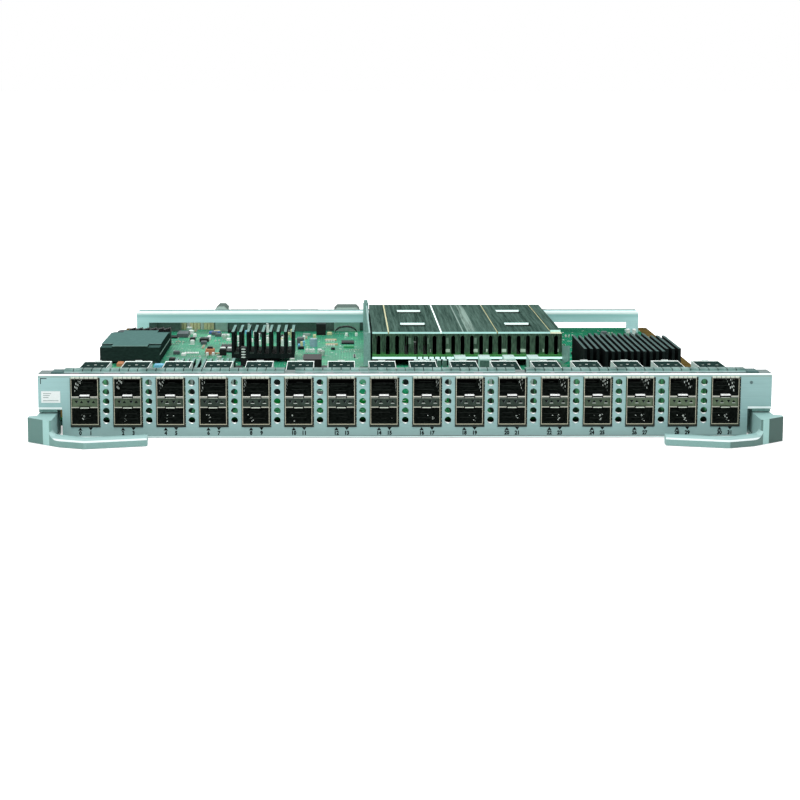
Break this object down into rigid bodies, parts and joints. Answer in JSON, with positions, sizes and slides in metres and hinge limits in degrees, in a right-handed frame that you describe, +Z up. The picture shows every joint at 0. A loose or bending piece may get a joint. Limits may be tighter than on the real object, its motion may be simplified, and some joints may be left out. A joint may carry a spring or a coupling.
{
  "type": "switch line card",
  "caption": "Chassis switch line card: circuit board on a tray behind a slim faceplate with stacked port cages, vent holes, finned heatsinks and two swinging ejector levers.",
  "frame": {"origin": "centre of the bottom tray's underside", "axes": "+X along the faceplate to the right seen from the ports, +Y from the faceplate to the backplane end, +Z up"},
  "size_m": [0.4094, 0.4768, 0.0376],
  "materials": {
    "black_fins": "black anodised",
    "black_plastic": "matt",
    "board_green": "solder mask, satin",
    "cage_metal": "nickel plated",
    "can_metal": "bright with sleeve",
    "cast_metal": "cast",
    "chip_black": "moulded",
    "coil_metal": "satin",
    "connector_plastic": "moulded",
    "cover_metal": "dark brushed",
    "faceplate_metal": "brushed",
    "fin_metal": "satin",
    "foam": "matt",
    "lamp_plastic": "clear lens",
    "lever_paint": "satin powder coat",
    "module_black": "satin",
    "screw_metal": "bright",
    "sheet_metal": "satin",
    "spring_metal": "satin",
    "strip_plastic": "satin"
  },
  "bodies": {
    "root": {"black_coils": "black_plastic", "board_screws": "screw_metal", "board_standoffs": "screw_metal", "bottom_tray": "sheet_metal", "bracket_rivets": "screw_metal", "circuit_board": "board_green", "coil_blocks": "coil_metal", "faceplate": "faceplate_metal", "filter_row": "coil_metal", "front_heatsink": "black_fins", "front_heatsink_chip": "chip_black", "gasket_fingers": "spring_metal", "gasket_pads": "foam", "guide_modules": "cast_metal", "guide_post": "sheet_metal", "heatsink_covers": "cover_metal", "heatsink_screws": "screw_metal", "left_air_baffle": "sheet_metal", "left_backplane_connectors": "connector_plastic", "left_ejector_bracket": "sheet_metal", "left_ejector_pin": "screw_metal", "left_heatsink": "black_fins", "left_heatsink_chip": "chip_black", "main_heatsink": "fin_metal", "memory_chips": "chip_black", "port_cage_01": "cage_metal", "port_cage_02": "cage_metal", "port_cage_03": "cage_metal", "port_cage_04": "cage_metal", "port_cage_05": "cage_metal", "port_cage_06": "cage_metal", "port_cage_07": "cage_metal", "port_cage_08": "cage_metal", "port_cage_09": "cage_metal", "port_cage_10": "cage_metal", "port_cage_11": "cage_metal", "port_cage_12": "cage_metal", "port_cage_13": "cage_metal", "port_cage_14": "cage_metal", "port_cage_15": "cage_metal", "port_cage_16": "cage_metal", "port_chips": "chip_black", "port_contact_blocks": "black_plastic", "port_light_strips": "strip_plastic", "power_connector": "black_plastic", "power_module": "module_black", "power_module_pins": "screw_metal", "rail_screws": "screw_metal", "rear_rail": "sheet_metal", "right_air_baffle": "sheet_metal", "right_backplane_connectors": "connector_plastic", "right_ejector_bracket": "sheet_metal", "right_ejector_pin": "screw_metal", "right_heatsink": "black_fins", "right_heatsink_chip": "chip_black", "round_capacitors": "can_metal", "status_lamp": "lamp_plastic", "switch_chip": "chip_black"},
    "left_ejector": {"left_ejector": "lever_paint"},
    "right_ejector": {"right_ejector": "lever_paint"}
  },
  "joints": [
    {"name": "left_ejector_swing", "type": "hinge", "parent": "root", "child": "left_ejector", "pos_m": [-0.1955, -0.21, 0.007], "axis": [0, 0, -1], "range_deg": [0, 60]},
    {"name": "right_ejector_swing", "type": "hinge", "parent": "root", "child": "right_ejector", "pos_m": [0.1955, -0.21, 0.007], "axis": [0, 0, 1], "range_deg": [0, 60]}
  ]
}
